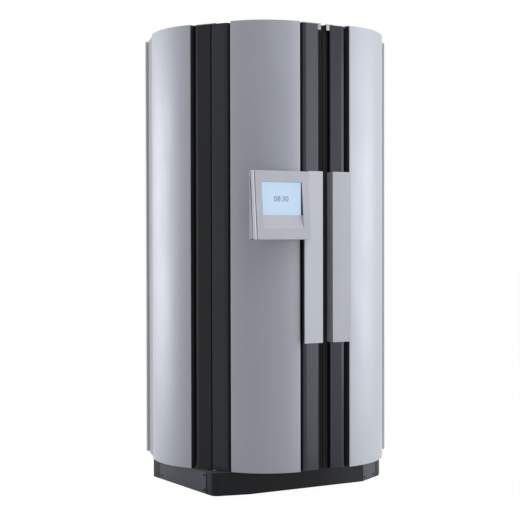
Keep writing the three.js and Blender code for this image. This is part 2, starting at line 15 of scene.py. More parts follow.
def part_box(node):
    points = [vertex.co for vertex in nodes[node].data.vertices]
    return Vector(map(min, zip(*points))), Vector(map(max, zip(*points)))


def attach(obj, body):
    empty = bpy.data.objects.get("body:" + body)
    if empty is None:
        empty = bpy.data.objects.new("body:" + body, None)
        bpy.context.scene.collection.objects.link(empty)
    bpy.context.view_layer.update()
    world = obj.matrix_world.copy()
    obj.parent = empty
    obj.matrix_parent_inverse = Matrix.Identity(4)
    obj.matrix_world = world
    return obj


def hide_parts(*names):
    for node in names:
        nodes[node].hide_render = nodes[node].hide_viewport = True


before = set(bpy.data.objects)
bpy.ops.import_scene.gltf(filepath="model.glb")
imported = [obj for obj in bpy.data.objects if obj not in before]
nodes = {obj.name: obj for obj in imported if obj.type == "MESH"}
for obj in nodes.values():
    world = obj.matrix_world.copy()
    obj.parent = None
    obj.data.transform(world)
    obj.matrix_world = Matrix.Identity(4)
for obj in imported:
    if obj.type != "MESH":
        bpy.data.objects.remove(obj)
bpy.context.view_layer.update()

# %% [markdown]
# ## Camera
# The photograph was taken from the booth's left, at about chest height, with a long lens. A camera looks
# down its own -Z, so it is built up from a turn round the booth, a small tilt down and a hair of roll.

# %% Place the camera
PHOTO_PIXELS = 520
FOCAL_PIXELS = 1154.4
SENSOR_WIDTH_MM = 36.0
CAMERA_TURN = math.radians(-27.85)
CAMERA_DISTANCE = 5.794
CAMERA_HEIGHT = 1.1516
CAMERA_TILT = math.radians(0.875)
CAMERA_ROLL = math.radians(-0.11)
AXIS_OFFSET_PIXELS = 5.8


def new_object(name, data):
    """An object that shows some data, put in the scene."""
    made = bpy.data.objects.new(name, data)
    bpy.context.scene.collection.objects.link(made)
    return made


camera_data = bpy.data.cameras.new("camera")
camera_data.sensor_width = SENSOR_WIDTH_MM
camera_data.lens = SENSOR_WIDTH_MM * FOCAL_PIXELS / PHOTO_PIXELS
camera = new_object("camera", camera_data)
camera_place = Vector((math.sin(CAMERA_TURN), -math.cos(CAMERA_TURN), 0)) * CAMERA_DISTANCE
camera_place.z = CAMERA_HEIGHT
camera_yaw = CAMERA_TURN + math.atan2(AXIS_OFFSET_PIXELS, FOCAL_PIXELS)
camera.matrix_world = (
    Matrix.Translation(camera_place)
    @ Matrix.Rotation(camera_yaw, 4, "Z")
    @ Matrix.Rotation(math.pi / 2 - CAMERA_TILT, 4, "X")
    @ Matrix.Rotation(CAMERA_ROLL, 4, "Z")
)
bpy.context.scene.camera = camera
bpy.context.scene.view_settings.view_transform = "Standard"
print("lens", round(camera_data.lens, 1), "mm")

# %% [markdown]
# ## Materials: shared effects
# Painted sheet is never one flat tone: the spray leaves a faint orange peel, the colour drifts a little,
# and handling leaves soft smudges. These effects are node groups, built once. Each group only gives out
# colours, values and heights; the shader itself stays in each material.

# %% Node helpers


def new_group(name, inputs, outputs):
    """An empty shader node group with typed sockets. Inputs are (name, kind, default)."""
    group = bpy.data.node_groups.new(name, "ShaderNodeTree")
    for label, kind, default in inputs:
        socket = group.interface.new_socket(label, in_out="INPUT", socket_type=kind)
        socket.default_value = default
    for label, kind in outputs:
        group.interface.new_socket(label, in_out="OUTPUT", socket_type=kind)
    start = group.nodes.new("NodeGroupInput")
    end = group.nodes.new("NodeGroupOutput")
    return group, start, end


def noise(tree, coordinates, scale, detail, stretch=None):
    """The value of a noise texture, stretched along an axis where asked."""
    texture = tree.nodes.new("ShaderNodeTexNoise")
    texture.inputs["Detail"].default_value = detail
    texture.inputs["Scale"].default_value = scale
    if stretch:
        mapping = tree.nodes.new("ShaderNodeMapping")
        mapping.inputs["Scale"].default_value = stretch
        tree.links.new(coordinates, mapping.inputs["Vector"])
        coordinates = mapping.outputs["Vector"]
    tree.links.new(coordinates, texture.inputs["Vector"])
    return texture.outputs["Fac"]


def feed(tree, value, socket):
    """Links a value to a socket, or sets the socket where the value is a plain number."""
    if hasattr(value, "links"):
        tree.links.new(value, socket)
    else:
        socket.default_value = value


def remap(tree, value, low, high, to_low, to_high):
    """Maps a value from one range to another, clamped. Each end is a number or a socket."""
    node = tree.nodes.new("ShaderNodeMapRange")
    for label, end in (("From Min", low), ("From Max", high), ("To Min", to_low), ("To Max", to_high)):
        feed(tree, end, node.inputs[label])
    tree.links.new(value, node.inputs["Value"])
    return node.outputs["Result"]


def math_node(tree, operation, first, second):
    """One step of arithmetic on two numbers or sockets."""
    node = tree.nodes.new("ShaderNodeMath")
    node.operation = operation
    for socket, value in zip(node.inputs, (first, second)):
        feed(tree, value, socket)
    return node.outputs["Value"]


def tinted(tree, colour, amount):
    """A colour multiplied by a grey amount that changes over the surface."""
    node = tree.nodes.new("ShaderNodeVectorMath")
    node.operation = "SCALE"
    tree.links.new(colour, node.inputs[0])
    tree.links.new(amount, node.inputs["Scale"])
    return node.outputs["Vector"]


print("node helpers ready")

# %% Group: sprayed paint
PEEL_SCALE = 260.0
PEEL_DETAIL = 1.0
DRIFT_SCALE = 2.2
DRIFT_DETAIL = 3.0
SMUDGE_SCALE = 9.0
SMUDGE_DETAIL = 4.0
SMUDGE_STRETCH = (1.0, 1.0, 0.35)
SMUDGE_RANGE = (0.35, 0.7)
SMUDGE_GLOSS = 0.05
FLAKE_SCALE = 2400.0
COLOUR_AND_GLOSS = [
    ("Colour", "NodeSocketColor", (0.4, 0.4, 0.4, 1.0)),
    ("Roughness", "NodeSocketFloat", 0.4),
]
SURFACE = [("Colour", "NodeSocketColor"), ("Roughness", "NodeSocketFloat"), ("Height", "NodeSocketFloat")]

spray, spray_in, spray_out = new_group(
    "sprayed_paint",
    [*COLOUR_AND_GLOSS, ("Flake", "NodeSocketFloat", 0.05), ("Drift", "NodeSocketFloat", 0.04)],
    SURFACE,
)
spray_place = spray.nodes.new("ShaderNodeTexCoord").outputs["Object"]
drift = noise(spray, spray_place, DRIFT_SCALE, DRIFT_DETAIL)
smudge = noise(spray, spray_place, SMUDGE_SCALE, SMUDGE_DETAIL, SMUDGE_STRETCH)
peel = noise(spray, spray_place, PEEL_SCALE, PEEL_DETAIL)
flake = spray.nodes.new("ShaderNodeTexVoronoi")
flake.inputs["Scale"].default_value = FLAKE_SCALE
spray.links.new(spray_place, flake.inputs["Vector"])
flake_grey = spray.nodes.new("ShaderNodeSeparateColor")
spray.links.new(flake.outputs["Color"], flake_grey.inputs["Color"])


def around_one(tree, value, amount):
    """1 plus or minus an amount, as a value from 0 to 1 goes from one end to the other."""
    low = math_node(tree, "SUBTRACT", 1.0, amount)
    high = math_node(tree, "ADD", 1.0, amount)
    return remap(tree, value, 0.0, 1.0, low, high)


drift_tone = around_one(spray, drift, spray_in.outputs["Drift"])
flake_tone = around_one(spray, flake_grey.outputs["Red"], spray_in.outputs["Flake"])
spray_tone = math_node(spray, "MULTIPLY", drift_tone, flake_tone)
spray.links.new(tinted(spray, spray_in.outputs["Colour"], spray_tone), spray_out.inputs["Colour"])
smudge_step = remap(spray, smudge, *SMUDGE_RANGE, -SMUDGE_GLOSS, SMUDGE_GLOSS)
spray_gloss = math_node(spray, "ADD", spray_in.outputs["Roughness"], smudge_step)
spray.links.new(spray_gloss, spray_out.inputs["Roughness"])
spray.links.new(peel, spray_out.inputs["Height"])
print("sprayed paint has", len(spray.nodes), "nodes")

# %% [markdown]
# Moulded plastic and rubber carry a fine leathery grain from the tool, and rolled metal carries long thin
# lines along the way it was drawn. A noise gives the height, and one moves the tone and gloss a little.

# %% Groups: moulded grain and drawn metal
GRAIN_SCALE = 900.0
GRAIN_DETAIL = 2.0
GRAIN_TONE = 0.04
GRAIN_GLOSS = 0.05
BROAD_DETAIL = 3.0
DRAWN_SCALE = 60.0
DRAWN_DETAIL = 2.0
DRAWN_STRETCH = (14.0, 14.0, 0.25)
DRAWN_TONE = 0.07
DRAWN_GLOSS = 0.06
NOISE_RANGE = (0.3, 0.7)


def complete(group, start, end, height, shade, tone, gloss):
    """Links a group's outputs: a noise for the height, and one that moves its tone and gloss either way."""
    amount = remap(group, shade, *NOISE_RANGE, 1.0 - tone, 1.0 + tone)
    group.links.new(tinted(group, start.outputs["Colour"], amount), end.inputs["Colour"])
    step = remap(group, shade, *NOISE_RANGE, -gloss, gloss)
    roughness = math_node(group, "ADD", start.outputs["Roughness"], step)
    group.links.new(roughness, end.inputs["Roughness"])
    group.links.new(height, end.inputs["Height"])


grain, grain_in, grain_out = new_group("moulded_grain", COLOUR_AND_GLOSS, SURFACE)
grain_place = grain.nodes.new("ShaderNodeTexCoord").outputs["Object"]
grain_fine = noise(grain, grain_place, GRAIN_SCALE, GRAIN_DETAIL)
grain_broad = noise(grain, grain_place, SMUDGE_SCALE, BROAD_DETAIL)
complete(grain, grain_in, grain_out, grain_fine, grain_broad, GRAIN_TONE, GRAIN_GLOSS)

drawn, drawn_in, drawn_out = new_group("drawn_metal", COLOUR_AND_GLOSS, SURFACE)
drawn_place = drawn.nodes.new("ShaderNodeTexCoord").outputs["Object"]
drawn_lines = noise(drawn, drawn_place, DRAWN_SCALE, DRAWN_DETAIL, DRAWN_STRETCH)
complete(drawn, drawn_in, drawn_out, drawn_lines, drawn_lines, DRAWN_TONE, DRAWN_GLOSS)
print("moulded grain and drawn metal ready")

# %% [markdown]
# ## Materials: the booth's finishes
# Each finish is one Principled shader fed by one of the groups. Values that are the same all over are set
# straight on the shader. After the group come the colour, the roughness and, for some, the metallic share.

# %% Finish function


def finish(name, group, colour, roughness, metallic=0.0, bump=0.1, depth=0.0002, **settings):
    """A material fed by a shared group. Other settings go to the group's inputs or the shader's."""
    material = bpy.data.materials.new(name)
    material.use_nodes = True
    tree = material.node_tree
    shader = tree.nodes["Principled BSDF"]
    effect = tree.nodes.new("ShaderNodeGroup")
    effect.node_tree = group
    effect.inputs["Colour"].default_value = (*colour, 1.0)
    effect.inputs["Roughness"].default_value = roughness
    shader.inputs["Metallic"].default_value = metallic
    for label, value in settings.items():
        target = effect if label in effect.inputs else shader
        target.inputs[label.replace("_", " ")].default_value = value
    height = tree.nodes.new("ShaderNodeBump")
    height.inputs["Strength"].default_value = bump
    height.inputs["Distance"].default_value = depth
    tree.links.new(effect.outputs["Colour"], shader.inputs["Base Color"])
    tree.links.new(effect.outputs["Roughness"], shader.inputs["Roughness"])
    tree.links.new(effect.outputs["Height"], height.inputs["Height"])
    tree.links.new(height.outputs["Normal"], shader.inputs["Normal"])
    return material


silver_paint = finish("silver_paint", spray, (0.56, 0.587, 0.653), 0.42, 0.40, Flake=0.07, Drift=0.03)
stile_paint = finish("stile_paint", spray, (0.125, 0.131, 0.152), 0.22, 0.92)
# Painted shade: a darker copy of the meeting stiles' paint, for the right stile and the shade it takes.
shaded_right_stile_paint = finish("shaded_right_stile_paint", spray, (0.065, 0.067, 0.082), 0.22, 0.92)
# Painted shade: the hinge posts are painted far darker than the meeting stiles, for faces turned from the
# light.
shaded_post_paint = finish("shaded_post_paint", spray, (0.0173, 0.0189, 0.0229), 0.34, bump=0.03, Flake=0.04)
# Painted shade: the hinge stiles are painted darker than the meeting stiles, for faces turned from the
# light.
shaded_hinge_stile_paint = finish("shaded_hinge_stile_paint", spray, (0.035, 0.0383, 0.0464), 0.34, bump=0.03, Flake=0.04)
corner_paint = finish("corner_paint", spray, (0.34, 0.355, 0.395), 0.38, 0.4)
plinth_paint = finish("plinth_paint", spray, (0.0092, 0.0112, 0.0160), 0.50, Drift=0.10)
cover_paint = finish("cover_paint", spray, (0.086, 0.095, 0.121), 0.45, 0.3, Drift=0.08)
pull_paint = finish("pull_paint", spray, (0.615, 0.64, 0.705), 0.45, 0.40, Flake=0.03)
# Painted shade: the right pull is a darker copy of the pull paint.
shaded_right_pull_paint = finish("shaded_right_pull_paint", spray, (0.53, 0.552, 0.610), 0.45, 0.40, Flake=0.03)
display_plastic = finish("display_plastic", grain, (0.57, 0.59, 0.655), 0.48, bump=0.15)
housing_plastic = finish("housing_plastic", grain, (0.43, 0.445, 0.495), 0.5, bump=0.15)
# Painted highlight: the bead is a lighter copy of the face's plastic.
bead_highlight_plastic = finish("bead_highlight_plastic", grain, (0.76, 0.785, 0.86), 0.34)
black_plastic = finish("black_plastic", grain, (0.012, 0.012, 0.014), 0.5, bump=0.2)
cap_plastic = finish("cap_plastic", grain, (0.50, 0.51, 0.55), 0.4)
black_steel = finish("black_steel", drawn, (0.035, 0.035, 0.038), 0.4, 0.6, bump=0.05)
white_plastic = finish("white_plastic", grain, (0.72, 0.72, 0.70), 0.45)
black_rubber = finish("black_rubber", grain, (0.012, 0.012, 0.013), 0.7, bump=0.3, depth=0.0004)
bright_steel = finish("bright_steel", drawn, (0.55, 0.56, 0.58), 0.35, 1.0, bump=0.05)
rolled_aluminium = finish("rolled_aluminium", drawn, (0.80, 0.81, 0.83), 0.2, 1.0, bump=0.05)
lamp_coating = finish("lamp_coating", grain, (0.86, 0.87, 0.90), 0.21, bump=0.02)
print("finishes:", len(bpy.data.materials))

# %% [markdown]
# The clear acrylic in front of the lamps passes light through, with faint cleaning haze. The lit touch
# screen gives out its own pale blue light, a little darker to the rim.

# %% Acrylic and lit screen
ACRYLIC_IOR = 1.49
clear_acrylic = finish(
    "clear_acrylic", grain, (0.93, 0.97, 0.98), 0.06, bump=0.0, Transmission_Weight=1.0, IOR=ACRYLIC_IOR
)

GLOW_MIDDLE = (-0.5, -0.5, -0.5)
GLOW_REACH = 0.5
SCREEN_CENTRE = (0.585, 0.730, 0.885, 1.0)
SCREEN_RIM = (0.480, 0.640, 0.825, 1.0)
lit_screen = finish("lit_screen", grain, (0.02, 0.02, 0.025), 0.12, bump=0.0)
lit_tree = lit_screen.node_tree
lit_shader = lit_tree.nodes["Principled BSDF"]
lit_place = lit_tree.nodes.new("ShaderNodeTexCoord")
glow = lit_tree.nodes.new("ShaderNodeTexGradient")
glow.gradient_type = "QUADRATIC_SPHERE"
glow_map = lit_tree.nodes.new("ShaderNodeMapping")
glow_map.inputs["Location"].default_value = GLOW_MIDDLE
lit_tree.links.new(lit_place.outputs["Generated"], glow_map.inputs["Vector"])
lit_tree.links.new(glow_map.outputs["Vector"], glow.inputs["Vector"])
glow_ramp = lit_tree.nodes.new("ShaderNodeValToRGB")
glow_ramp.color_ramp.elements[0].color = SCREEN_RIM
glow_ramp.color_ramp.elements[1].color = SCREEN_CENTRE
glow_ramp.color_ramp.elements[1].position = GLOW_REACH
lit_tree.links.new(glow.outputs["Fac"], glow_ramp.inputs["Fac"])
lit_tree.links.new(glow_ramp.outputs["Color"], lit_shader.inputs["Emission Color"])
lit_shader.inputs["Emission Strength"].default_value = 1.0
screen_ink = finish("screen_ink", grain, (0.16, 0.22, 0.30), 0.4)
print("acrylic and screen ready")

# %% [markdown]
# ## Soft edges on the engineering nodes
# Sheet metal bends over a small radius and paint rounds every corner. Most nodes already have the right
# shape, so they keep it, and modifiers weld their facets and round their edges, which then catch the light.

# %% Soft edges as modifiers
SMOOTH_LIMIT = math.radians(35)
FACET_WELD = 0.00002
FLAT_WEIGHT = 100

shade_smooth = bpy.data.node_groups.new("weld_and_smooth", "GeometryNodeTree")
shade_smooth.interface.new_socket("Geometry", in_out="INPUT", socket_type="NodeSocketGeometry")
shade_smooth.interface.new_socket("Geometry", in_out="OUTPUT", socket_type="NodeSocketGeometry")
smooth_start = shade_smooth.nodes.new("NodeGroupInput")
smooth_weld = shade_smooth.nodes.new("GeometryNodeMergeByDistance")
smooth_weld.inputs["Distance"].default_value = FACET_WELD
smooth_set = shade_smooth.nodes.new("GeometryNodeSetShadeSmooth")
smooth_end = shade_smooth.nodes.new("NodeGroupOutput")
smooth_steps = (smooth_start, smooth_weld, smooth_set, smooth_end)
for upstream, downstream in zip(smooth_steps, smooth_steps[1:]):
    shade_smooth.links.new(upstream.outputs[0], downstream.inputs[0])


def soften(piece, width, segments=2, smooth=True):
    """Welds, smooths and bevels a piece with modifiers, so that its own mesh stays as it is."""
    if smooth:
        weld = piece.modifiers.new("weld_and_smooth", "NODES")
        weld.node_group = shade_smooth
    bevel = piece.modifiers.new("rounded_edges", "BEVEL")
    bevel.width = width
    bevel.segments = segments
    bevel.limit_method = "ANGLE"
    bevel.angle_limit = SMOOTH_LIMIT
    bevel.harden_normals = True
    bevel.miter_outer = "MITER_ARC"
    if smooth:
        flats = piece.modifiers.new("flat_faces", "WEIGHTED_NORMAL")
        flats.weight = FLAT_WEIGHT
        flats.keep_sharp = True


def dress(name, material, width, segments=2):
    """Gives an engineering node its finish and soft edges."""
    node = nodes[name]
    node.data.materials.clear()
    node.data.materials.append(material)
    soften(node, width, segments)


print("modifiers:", len(smooth_steps), "steps to weld and smooth")

# %% Finishes for the nodes
SIDES = ("left", "right")
MODULES = ("door_left", "door_right", "side_left", "side_right", "rear_left", "rear_right", "rear")
FINE_EDGE = 0.0006
SHEET_EDGE = 0.0008
SMALL_EDGE = 0.0010
COVER_EDGE = 0.0012
CASE_EDGE = 0.0015
PULL_EDGE = 0.0016
ARM_EDGE = 0.0020
PLINTH_EDGE = 0.0030
ROUND_SEGMENTS = 3
for side in SIDES:
    dress(f"pivot_lower_{side}", bright_steel, FINE_EDGE)
    dress(f"pivot_upper_{side}", bright_steel, FINE_EDGE)
    dress(f"meeting_seal_{side}", black_rubber, SMALL_EDGE)
dress("pull_left", pull_paint, PULL_EDGE, ROUND_SEGMENTS)
# The right pull takes the darker copy of the pull paint, as painted shade.
dress("pull_right", shaded_right_pull_paint, PULL_EDGE, ROUND_SEGMENTS)
for module in MODULES:
    dress(f"reflector_{module}", rolled_aluminium, FINE_EDGE)
    dress(f"shield_{module}", clear_acrylic, SMALL_EDGE)
for name, material, width in (
    ("catch_left", cap_plastic, FINE_EDGE),
    ("catch_right", white_plastic, FINE_EDGE),
    ("plinth_tray", plinth_paint, PLINTH_EDGE),
    ("plinth_cover_left", cover_paint, COVER_EDGE),
    ("plinth_cover_right", cover_paint, COVER_EDGE),
    ("floor_deck", cover_paint, SHEET_EDGE),
    ("roof_deck", silver_paint, SHEET_EDGE),
    ("fan_guard", black_plastic, SHEET_EDGE),
    ("fan_motor", bright_steel, CASE_EDGE),
    ("fan_impeller", black_plastic, FINE_EDGE),
    ("display_housing", housing_plastic, CASE_EDGE),
    ("display_arm", stile_paint, ARM_EDGE),
    ("display_screen", lit_screen, FINE_EDGE),
    ("mains_gland", black_plastic, SMALL_EDGE),
):
    dress(name, material, width)
print("dressed nodes:", sum(bool(node.modifiers) for node in nodes.values()))

# %% [markdown]
# ## Mesh helpers
# New pieces are drawn in plan or in side view and extruded, or turned as on a lathe. They are made in the
# booth's own frame in metres, so nothing has to be moved into place afterwards.

# %% Helpers for new pieces


def finished_piece(name, bm, body, materials, width=None, segments=2, smooth=True):
    """Turns a bmesh into an object that rides on a body and takes its finish from a slot."""
    bmesh.ops.recalc_face_normals(bm, faces=bm.faces)
    mesh = bpy.data.meshes.new(name)
    bm.to_mesh(mesh)
    bm.free()
    for material in materials:
        mesh.materials.append(material)
    piece = new_object(name, mesh)
    if width:
        soften(piece, width, segments, smooth)
    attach(piece, body)
    return piece


def prism(bm, outline, low, high, place=Matrix.Identity(4), material=0):
    """A closed plan outline of (x, y) stood up between two heights, then moved by a matrix."""
    bottom = [bm.verts.new(place @ Vector((x, y, low))) for x, y in outline]
    top = [bm.verts.new(place @ Vector((x, y, high))) for x, y in outline]
    faces = [bm.faces.new(bottom), bm.faces.new(top)]
    for i in range(len(outline)):
        j = (i + 1) % len(outline)
        faces.append(bm.faces.new((bottom[i], bottom[j], top[j], top[i])))
    for face in faces:
        face.material_index = material
    return faces


def rectangle(left, right, low, high):
    """The corners of a rectangle, anticlockwise from the lower left."""
    return [(left, low), (right, low), (right, high), (left, high)]


def arc(x, y, radius, start, sweep, steps):
    """Points along an arc in plan, with both its ends."""
    turns = (start + sweep * i / steps for i in range(steps + 1))
    return [(x + radius * math.cos(turn), y + radius * math.sin(turn)) for turn in turns]


def circle(radius, count):
    """Points round a circle in plan."""
    return arc(0, 0, radius, 0, 2 * math.pi, count)[:-1]


def facing(point, outward):
    """A matrix whose Z points outward from a point."""
    return Matrix.Translation(point) @ Vector(outward).to_track_quat("Z", "Y").to_matrix().to_4x4()


def turned(profile, bm, place, count):
    """A lathe-turned surface: profile points are (radius, height), and a radius of 0 is on the axis."""
    rings = []
    for radius, height in profile:
        if radius == 0:
            rings.append([bm.verts.new(place @ Vector((0, 0, height)))])
        else:
            rings.append([bm.verts.new(place @ Vector((x, y, height))) for x, y in circle(radius, count)])
    for lower, upper in zip(rings, rings[1:]):
        for i in range(count):
            j = (i + 1) % count
            below = [lower[i % len(lower)], lower[j % len(lower)]]
            above = [upper[j % len(upper)], upper[i % len(upper)]]
            face = bm.faces.new(list(dict.fromkeys(below + above)))
            face.smooth = True


print("mesh helpers ready")

# %% [markdown]
# ## Curved outer panels
# Each panel is a sheet rolled to a shallow arc, with its two long edges folded back over a small radius and
# its ends closed. The engineering panel has few facets, which would show as bands in the paint, so a finer
# one replaces it: many steps along the arc, a true round at each fold, a small bevel round the ends. The
# folded edges of the doors, and the one of the left side panel that faces the left door, are black: painted
# shade for the dark grooves beside the posts.

# %% Panel outline
PANEL_SAGITTA = 0.036
FOLD_RADIUS = 0.0035
ARC_STEPS = 48
FOLD_STEPS = 6
DOOR_TURN = math.radians(28)
MODULE_BODY = {"door_left": "left_door", "door_right": "right_door"}
FIXED_MODULES = [module for module in MODULES if module not in MODULE_BODY]
FIXED_STEP = (2 * math.pi - 2 * DOOR_TURN) / (len(FIXED_MODULES) + 1)
MODULE_TURN = {"door_left": -DOOR_TURN, "door_right": DOOR_TURN, "rear": math.pi}
for step, ring in enumerate(("side", "rear"), 1):
    MODULE_TURN[f"{ring}_left"] = -DOOR_TURN - step * FIXED_STEP
    MODULE_TURN[f"{ring}_right"] = DOOR_TURN + step * FIXED_STEP
module_place = {module: Matrix.Rotation(turn, 4, "Z") for module, turn in MODULE_TURN.items()}
rear_low, rear_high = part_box("panel_rear")
panel_half = (rear_high[0] - rear_low[0]) / 2
module_apothem = rear_high[1] - PANEL_SAGITTA
panel_back = rear_low[1]
panel_radius = (panel_half**2 + PANEL_SAGITTA**2) / (2 * PANEL_SAGITTA)
arc_centre = module_apothem + PANEL_SAGITTA - panel_radius


def panel_outline():
    """The panel in plan, from one folded edge over the arc to the other; outwards is -Y."""
    fold_x = panel_half - FOLD_RADIUS
    fold_reach = math.sqrt((panel_radius - FOLD_RADIUS) ** 2 - fold_x**2)
    fold_y = arc_centre + fold_reach
    lean = math.atan2(fold_x, fold_reach)
    right = []
    for i in range(FOLD_STEPS + 1):
        turn = math.pi / 2 + (lean - math.pi / 2) * i / FOLD_STEPS
        right.append((fold_x + FOLD_RADIUS * math.sin(turn), -(fold_y + FOLD_RADIUS * math.cos(turn))))
    arc = []
    for i in range(1, ARC_STEPS):
        turn = lean * (1 - 2 * i / ARC_STEPS)
        arc.append((panel_radius * math.sin(turn), -(arc_centre + panel_radius * math.cos(turn))))
    left = [(-x, y) for x, y in reversed(right)]
    return [(panel_half, -panel_back), *right, *arc, *left, (-panel_half, -panel_back)]


print("panel points:", len(panel_outline()), "radius", round(panel_radius, 3))

# %% Panels
# A prism's faces are its two ends and then its sides. These are the sides at the ends of the outline.
RIGHT_EDGE = 2
LEFT_EDGE = -2
PANEL_EDGE = 0.0018
# Painted shade: these folded edges are black, for the dark grooves beside the posts.
GROOVE_SHADE_EDGES = {
    "door_left": (LEFT_EDGE, RIGHT_EDGE),
    "door_right": (LEFT_EDGE, RIGHT_EDGE),
    "side_left": (RIGHT_EDGE,),
}
skin = [silver_paint, black_plastic]
for module in MODULES:
    bm = bmesh.new()
    faces = prism(bm, panel_outline(), rear_low[2], rear_high[2], module_place[module])
    for edge in GROOVE_SHADE_EDGES.get(module, ()):
        faces[edge].material_index = skin.index(black_plastic)
    body = MODULE_BODY.get(module, "cabin")
    panel = finished_piece(f"skin_{module}", bm, body, skin, PANEL_EDGE, ROUND_SEGMENTS)
    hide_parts(f"panel_{module}")
print("panels:", len(MODULES))

# %% [markdown]
# ## Posts and door frames
# The posts are folded from sheet, and a fold is never sharp: the outside of the bend has a radius, and the
# inside has that radius less the sheet. Each node is cut level, its outline is read off, every corner is
# rounded, and the outline is stood up again. Gentle folds get a wide radius, so they catch a soft line of
# light all the way up. The posts beside the doors are painted much darker: painted shade for faces that
# turn away from the light.

# %% Read an outline off a node
WELD_DISTANCE = 0.00001
STRAIGHT_TURN = 0.01


def section(name, height):
    """The closed outlines of a node cut level at a height, largest first and anticlockwise."""
    bm = bmesh.new()
    bm.from_mesh(nodes[name].data)
    bmesh.ops.remove_doubles(bm, verts=bm.verts, dist=WELD_DISTANCE)
    geometry = [*bm.verts, *bm.edges, *bm.faces]
    cut = bmesh.ops.bisect_plane(bm, geom=geometry, plane_co=(0, 0, height), plane_no=(0, 0, 1))
    neighbours = {}
    for edge in cut["geom_cut"]:
        if isinstance(edge, bmesh.types.BMEdge):
            for vert in edge.verts:
                neighbours.setdefault(vert, []).append(edge.other_vert(vert))
    loops = []
    while neighbours:
        vert = next(iter(neighbours))
        loop = []
        while vert:
            loop.append(Vector(vert.co[:2]))
            options = neighbours.pop(vert)
            vert = next((other for other in options if other in neighbours), None)
        loops.append(straightened(loop))
    bm.free()
    return sorted(loops, key=area, reverse=True)


def area(loop):
    """Twice the signed area inside a closed outline."""
    return sum(a.cross(b) for a, b in zip(loop, loop[1:] + loop[:1]))


def straightened(loop):
    """A closed outline without the points that lie along its straight sides, made anticlockwise."""
    kept = []
    for i, point in enumerate(loop):
        before = (point - loop[i - 1]).normalized()
        after = (loop[(i + 1) % len(loop)] - point).normalized()
        if abs(before.cross(after)) > STRAIGHT_TURN:
            kept.append(point)
    return kept if area(kept) > 0 else kept[::-1]


print("section helpers ready")

# %% Round an outline's corners
STILE_SHEET = 0.0025
GENTLE_TURN = math.radians(50)
GENTLE_RADIUS = 0.008
SHARP_RADIUS = 0.0035
FILLET_STEPS = 5
FILLET_ROOM = 0.45


def rounded(loop):
    """A closed outline with every corner rounded as a sheet fold, as far as its sides allow."""
    points = []
    for i, corner in enumerate(loop):
        back = loop[i - 1] - corner
        ahead = loop[(i + 1) % len(loop)] - corner
        room = FILLET_ROOM * min(back.length, ahead.length)
        back.normalize()
        ahead.normalize()
        half = back.angle(ahead) / 2
        outside = GENTLE_RADIUS if math.pi - 2 * half < GENTLE_TURN else SHARP_RADIUS
        convex = back.cross(ahead) < 0
        radius = outside if convex else outside - STILE_SHEET
        trim = min(radius / math.tan(half), room)
        radius = trim * math.tan(half)
        centre = corner + (back + ahead).normalized() * radius / math.sin(half)
        start = corner + back * trim - centre
        sweep = (math.pi - 2 * half) * (1 if convex else -1)
        for step in range(FILLET_STEPS + 1):
            turn = Matrix.Rotation(sweep * step / FILLET_STEPS, 2)
            points.append(centre + turn @ start)
    return points


print("folds of", GENTLE_RADIUS, "and", SHARP_RADIUS, "m")

# %% Fixed posts
FOLD_END_EDGE = 0.0005
for side in SIDES:
    for post in (f"hinge_post_{side}", f"corner_post_side_{side}", f"corner_post_rear_{side}"):
        low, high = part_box(post)
        bm = bmesh.new()
        for loop in section(post, (low[2] + high[2]) / 2):
            prism(bm, rounded(loop), low[2], high[2])
        # Hinge posts take the darker paint as painted shade; corner posts take their own grey.
        paint = shaded_post_paint if post.startswith("hinge") else corner_paint
        piece = finished_piece(f"folded_{post}", bm, "cabin", [paint], FOLD_END_EDGE)
        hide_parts(post)
print("posts folded")

# %% [markdown]
# A door frame is two stiles joined by a plate at the foot and one at the head. The plates are cut a little
# smaller than the frame's outline, so that their edges end inside the sheet of the stiles, and the pivot's
# hole stays open. The hinge stiles are painted darker than the meeting stiles, and the right meeting stile
# darker than the left: both are painted shade.

# %% Door frames
DOOR_MIDDLE = 0.25
TIE_INSET = 0.002
TIE_SHEET = 0.003


def inset(loop, distance):
    """A closed anticlockwise outline moved inwards by a distance."""
    moved = []
    for i, point in enumerate(loop):
        before = (point - loop[i - 1]).normalized()
        after = (loop[(i + 1) % len(loop)] - point).normalized()
        normals = Vector((-before.y - after.y, before.x + after.x))
        moved.append(point + normals * distance / (1 + before.dot(after)))
    return moved


def tie_plate(bm, outline, hole, low, high):
    """A flat plate with one hole, filled between its outlines and thickened."""
    edges = []
    for loop in (outline, hole):
        verts = [bm.verts.new((x, y, low)) for x, y in loop]
        edges += [bm.edges.new((verts[i - 1], verts[i])) for i in range(len(verts))]
    filled = bmesh.ops.triangle_fill(bm, edges=edges, use_beauty=True)["geom"]
    plate = [face for face in filled if isinstance(face, bmesh.types.BMFace)]
    raised = bmesh.ops.extrude_face_region(bm, geom=plate, use_keep_orig=True)["geom"]
    lifted = [vert for vert in raised if isinstance(vert, bmesh.types.BMVert)]
    bmesh.ops.translate(bm, verts=lifted, vec=(0, 0, high - low))


